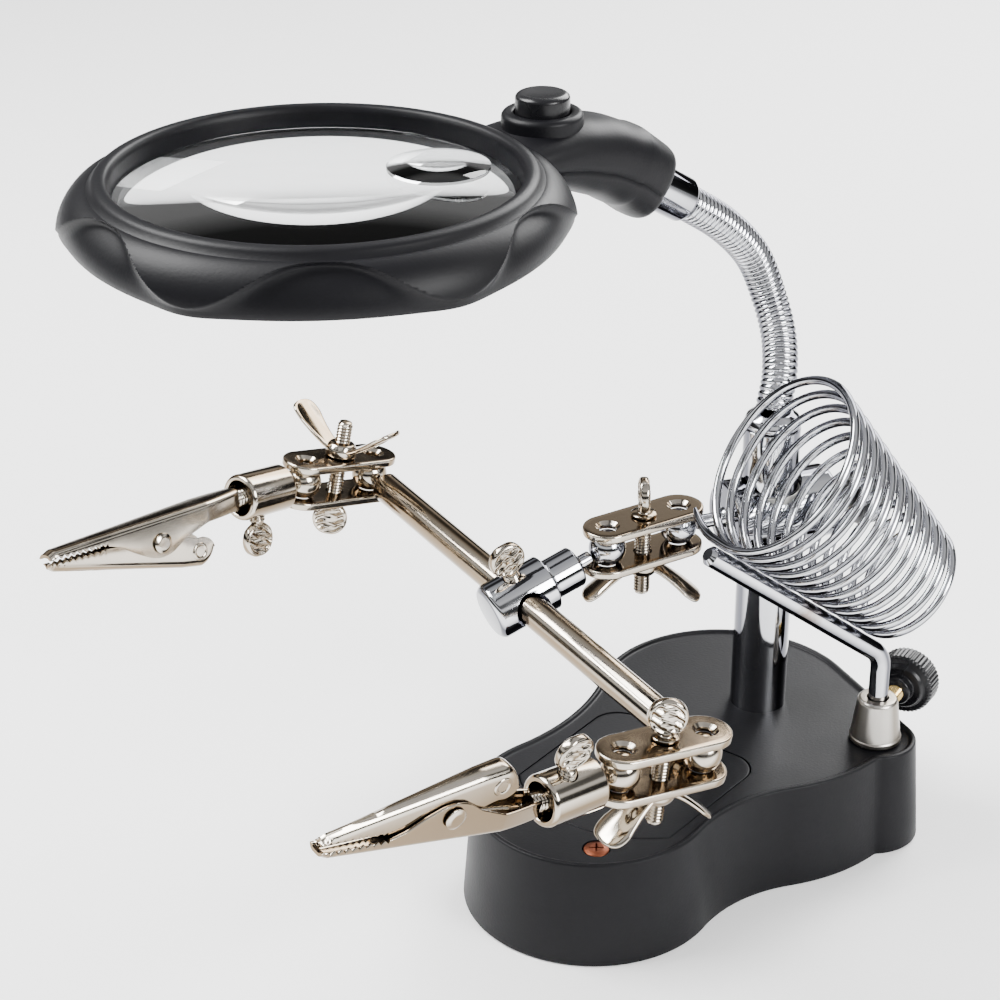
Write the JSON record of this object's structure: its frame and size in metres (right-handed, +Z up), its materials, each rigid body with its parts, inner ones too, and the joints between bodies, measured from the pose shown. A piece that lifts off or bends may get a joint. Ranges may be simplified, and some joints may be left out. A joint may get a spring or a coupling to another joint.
{
  "type": "helping hands clamp",
  "caption": "Weighted bench stand with a jointed rod and two spring clips, a coiled soldering iron holder and a round magnifier on a gooseneck.",
  "frame": {"origin": "underside of the base, on the post's axis", "axes": "+Z up; +Y along the base from its small front lobe to its large back lobe; +X towards the ear that carries the iron stand"},
  "size_m": [0.1599, 0.2137, 0.1939],
  "materials": {
    "black_plastic": "satin",
    "chrome": "polished",
    "nickel": "nickel plated",
    "satin_nickel": "satin",
    "cast_iron": "rough",
    "copper_steel": "copper plated",
    "brass": "satin",
    "nylon": "satin",
    "lens": "clear",
    "led": "clear"
  },
  "bodies": {
    "base": {"base_shell": "black_plastic", "base_floor": "black_plastic", "ballast": "cast_iron", "battery_cover": "black_plastic", "battery_cover_screw": "copper_steel", "post": "chrome", "ferrule": "satin_nickel", "gooseneck_collar": "chrome"},
    "iron_stand": {"stand_stem": "chrome", "holder_coil": "chrome"},
    "ferrule_thumbscrew": {"ferrule_stud": "brass", "ferrule_knob": "black_plastic"},
    "clamp_liner": {"post_clamp_liner": "nylon"},
    "arm_clamp": {"post_clamp": "chrome"},
    "arm_clamp_thumbscrew": {"post_clamp_stud": "brass", "post_clamp_knob": "black_plastic"},
    "arm_clamp_ball": {"post_clamp_ball": "chrome"},
    "middle_plates": {"middle_plate_upper": "nickel", "middle_plate_lower": "nickel"},
    "middle_thumbscrew": {"middle_screw": "nickel"},
    "middle_nut": {"middle_wing_nut": "nickel"},
    "rod_clamp_pivot": {"rod_clamp_ball": "chrome"},
    "rod_clamp_body": {"rod_clamp": "chrome"},
    "rod_clamp_thumbscrew": {"rod_clamp_screw": "nickel"},
    "rod": {"cross_rod": "nickel"},
    "button": {"switch_button": "black_plastic"},
    "head": {"head_shell": "black_plastic", "main_lens": "lens", "small_lens": "lens", "led_left": "led", "led_right": "led"},
    "left_end_ball": {"left_rod_ball": "nickel"},
    "left_plates": {"left_plate_upper": "nickel", "left_plate_lower": "nickel"},
    "left_thumbscrew": {"left_screw": "nickel"},
    "left_nut": {"left_wing_nut": "nickel"},
    "left_clip_ball": {"left_socket_ball": "nickel"},
    "left_clip": {"left_socket": "nickel", "left_fixed_jaw": "nickel", "left_rivet": "nickel", "left_spring": "satin_nickel"},
    "left_clip_thumbscrew": {"left_socket_screw": "nickel"},
    "left_jaw": {"left_moving_jaw": "nickel"},
    "front_end_ball": {"front_rod_ball": "nickel"},
    "front_plates": {"front_plate_upper": "nickel", "front_plate_lower": "nickel"},
    "front_thumbscrew": {"front_screw": "nickel"},
    "front_nut": {"front_wing_nut": "nickel"},
    "front_clip_ball": {"front_socket_ball": "nickel"},
    "front_clip": {"front_socket": "nickel", "front_fixed_jaw": "nickel", "front_rivet": "nickel", "front_spring": "satin_nickel"},
    "front_clip_thumbscrew": {"front_socket_screw": "nickel"},
    "front_jaw": {"front_moving_jaw": "nickel"},
    "neck_1": {"gooseneck_link_1": "chrome"},
    "neck_2": {"gooseneck_link_2": "chrome"},
    "neck_3": {"gooseneck_link_3": "chrome"},
    "neck_4": {"gooseneck_link_4": "chrome", "sleeve": "chrome"}
  },
  "joints": [
    {"name": "stand_swivel", "type": "hinge", "parent": "base", "child": "iron_stand", "pos_m": [0.0333, 0.0017, 0.0272], "axis": [0, 0, 1], "range_deg": [0, 80]},
    {"name": "ferrule_knob_turn", "type": "hinge", "parent": "base", "child": "ferrule_thumbscrew", "pos_m": [0.03182, 0.01391, 0.0335], "axis": [-0.1203, 0.9927, 0], "continuous": true},
    {"name": "clamp_height", "type": "slide", "parent": "base", "child": "clamp_liner", "axis": [0, 0, 1], "range_m": [-0.01, 0.003]},
    {"name": "arm_swing", "type": "hinge", "parent": "clamp_liner", "child": "arm_clamp", "pos_m": [0, 0, 0.0808], "axis": [0, 0, 1], "range_deg": [0, 18]},
    {"name": "clamp_knob_turn", "type": "hinge", "parent": "arm_clamp", "child": "arm_clamp_thumbscrew", "pos_m": [0.01019, 0.01709, 0.0808], "axis": [0.512, 0.859, 0], "continuous": true},
    {"name": "arm_ball_roll", "type": "hinge", "parent": "arm_clamp", "child": "arm_clamp_ball", "pos_m": [-0.01249, -0.02096, 0.0808], "axis": [-0.512, -0.859, 0], "range_deg": [-8, 8]},
    {"name": "middle_plates_swing", "type": "hinge", "parent": "arm_clamp_ball", "child": "middle_plates", "pos_m": [-0.01249, -0.02096, 0.0808], "axis": [0, 0, -1], "range_deg": [-20, 20]},
    {"name": "middle_screw_turn", "type": "hinge", "parent": "middle_plates", "child": "middle_thumbscrew", "pos_m": [-0.01609, -0.03077, 0.0808], "axis": [0, 0, 1], "continuous": true},
    {"name": "middle_nut_turn", "type": "hinge", "parent": "middle_plates", "child": "middle_nut", "pos_m": [-0.01609, -0.03077, 0.0747], "axis": [0, 0, 1], "continuous": true},
    {"name": "rod_clamp_swing", "type": "hinge", "parent": "middle_plates", "child": "rod_clamp_pivot", "pos_m": [-0.01968, -0.04058, 0.0808], "axis": [0, 0, 1], "range_deg": [-20, 20]},
    {"name": "rod_clamp_roll", "type": "hinge", "parent": "rod_clamp_pivot", "child": "rod_clamp_body", "pos_m": [-0.02991, -0.06232, 0.07319], "axis": [-0.4058, -0.8627, -0.3019], "range_deg": [-8, 8]},
    {"name": "rod_clamp_screw_turn", "type": "hinge", "parent": "rod_clamp_body", "child": "rod_clamp_thumbscrew", "pos_m": [-0.02991, -0.06232, 0.07319], "axis": [-0.0289, -0.318, 0.9476], "continuous": true},
    {"name": "rod_slide", "type": "slide", "parent": "rod_clamp_body", "child": "rod", "axis": [0.9445, -0.319, -0.0782], "range_m": [-0.025, 0.025]},
    {"name": "left_plates_roll", "type": "hinge", "parent": "rod", "child": "left_end_ball", "pos_m": [-0.09404, -0.04066, 0.0785], "axis": [0.9445, -0.319, -0.0782], "range_deg": [-20, 20]},
    {"name": "left_plates_swing", "type": "hinge", "parent": "left_end_ball", "child": "left_plates", "pos_m": [-0.09404, -0.04066, 0.0785], "axis": [-0.082, -0.187, -0.9789], "range_deg": [-25, 25]},
    {"name": "left_screw_turn", "type": "hinge", "parent": "left_plates", "child": "left_thumbscrew", "pos_m": [-0.09631, -0.05065, 0.08059], "axis": [-0.082, -0.187, -0.9789], "continuous": true},
    {"name": "left_nut_turn", "type": "hinge", "parent": "left_plates", "child": "left_nut", "pos_m": [-0.09581, -0.0495, 0.08657], "axis": [-0.082, -0.187, -0.9789], "continuous": true},
    {"name": "left_clip_swing", "type": "hinge", "parent": "left_plates", "child": "left_clip_ball", "pos_m": [-0.09858, -0.06063, 0.08268], "axis": [-0.082, -0.187, -0.9789], "range_deg": [-20, 20]},
    {"name": "left_clip_roll", "type": "hinge", "parent": "left_clip_ball", "child": "left_clip", "pos_m": [-0.09858, -0.06063, 0.08268], "axis": [-0.066, -0.9857, 0.155], "range_deg": [-40, 40]},
    {"name": "left_clip_screw_turn", "type": "hinge", "parent": "left_clip", "child": "left_clip_thumbscrew", "pos_m": [-0.09965, -0.0766, 0.08519], "axis": [0.131, -0.1625, -0.978], "continuous": true},
    {"name": "left_jaw_open", "type": "hinge", "parent": "left_clip", "child": "left_jaw", "pos_m": [-0.10221, -0.10974, 0.08493], "axis": [0.9761, -0.0863, 0.1992], "range_deg": [0, 18], "stiffness_Nm_per_rad": 0.05, "springref_deg": -28.65},
    {"name": "front_plates_roll", "type": "hinge", "parent": "rod", "child": "front_end_ball", "pos_m": [0.03706, -0.08494, 0.06765], "axis": [0.9445, -0.319, -0.0782], "range_deg": [-20, 20]},
    {"name": "front_plates_swing", "type": "hinge", "parent": "front_end_ball", "child": "front_plates", "pos_m": [0.03706, -0.08494, 0.06765], "axis": [0.06, 0.069, 0.9958], "range_deg": [-25, 25]},
    {"name": "front_screw_turn", "type": "hinge", "parent": "front_plates", "child": "front_thumbscrew", "pos_m": [0.03305, -0.09455, 0.06855], "axis": [0.06, 0.069, 0.9958], "continuous": true},
    {"name": "front_nut_turn", "type": "hinge", "parent": "front_plates", "child": "front_nut", "pos_m": [0.03269, -0.09497, 0.06247], "axis": [0.06, 0.069, 0.9958], "continuous": true},
    {"name": "front_clip_swing", "type": "hinge", "parent": "front_plates", "child": "front_clip_ball", "pos_m": [0.02905, -0.10416, 0.06945], "axis": [0.06, 0.069, 0.9958], "range_deg": [-20, 20]},
    {"name": "front_clip_roll", "type": "hinge", "parent": "front_clip_ball", "child": "front_clip", "pos_m": [0.02905, -0.10416, 0.06945], "axis": [-0.2479, -0.9667, 0.063], "range_deg": [-40, 40]},
    {"name": "front_clip_screw_turn", "type": "hinge", "parent": "front_clip", "child": "front_clip_thumbscrew", "pos_m": [0.02504, -0.11982, 0.07047], "axis": [0.2581, -0.0032, 0.9661], "continuous": true},
    {"name": "front_jaw_open", "type": "hinge", "parent": "front_clip", "child": "front_jaw", "pos_m": [0.0186, -0.15064, 0.0807], "axis": [-0.9496, 0.2581, 0.1779], "range_deg": [0, 18], "stiffness_Nm_per_rad": 0.05, "springref_deg": -28.65},
    {"name": "neck_swivel", "type": "hinge", "parent": "base", "child": "neck_1", "pos_m": [0, 0, 0.1084], "axis": [0, 0, 1], "range_deg": [-40, 40]},
    {"name": "neck_bend_1", "type": "hinge", "parent": "neck_1", "child": "neck_2", "pos_m": [-0.00446, 0.00848, 0.12221], "axis": [0.9078, 0.205, 0.3659], "range_deg": [-5, 5]},
    {"name": "neck_bend_2", "type": "hinge", "parent": "neck_2", "child": "neck_3", "pos_m": [-0.01161, 0.01024, 0.13714], "axis": [0.9078, 0.205, 0.3659], "range_deg": [-5, 5]},
    {"name": "neck_bend_3", "type": "hinge", "parent": "neck_3", "child": "neck_4", "pos_m": [-0.01496, 0.00029, 0.15041], "axis": [0.9078, 0.205, 0.3659], "range_deg": [-5, 5]},
    {"name": "head_roll", "type": "hinge", "parent": "neck_4", "child": "head", "pos_m": [-0.0227, -0.0252, 0.1683], "axis": [-0.2543, -0.8098, 0.5287], "range_deg": [-20, 20]},
    {"name": "button_press", "type": "slide", "parent": "head", "child": "button", "axis": [0, 0, 1], "range_m": [-0.0012, 0], "stiffness_N_per_m": 1200, "springref_m": 0.0002}
  ],
  "couplings": [
    {"joint": "neck_bend_2", "follows": "neck_bend_1", "ratio": 1},
    {"joint": "neck_bend_3", "follows": "neck_bend_1", "ratio": 1}
  ]
}
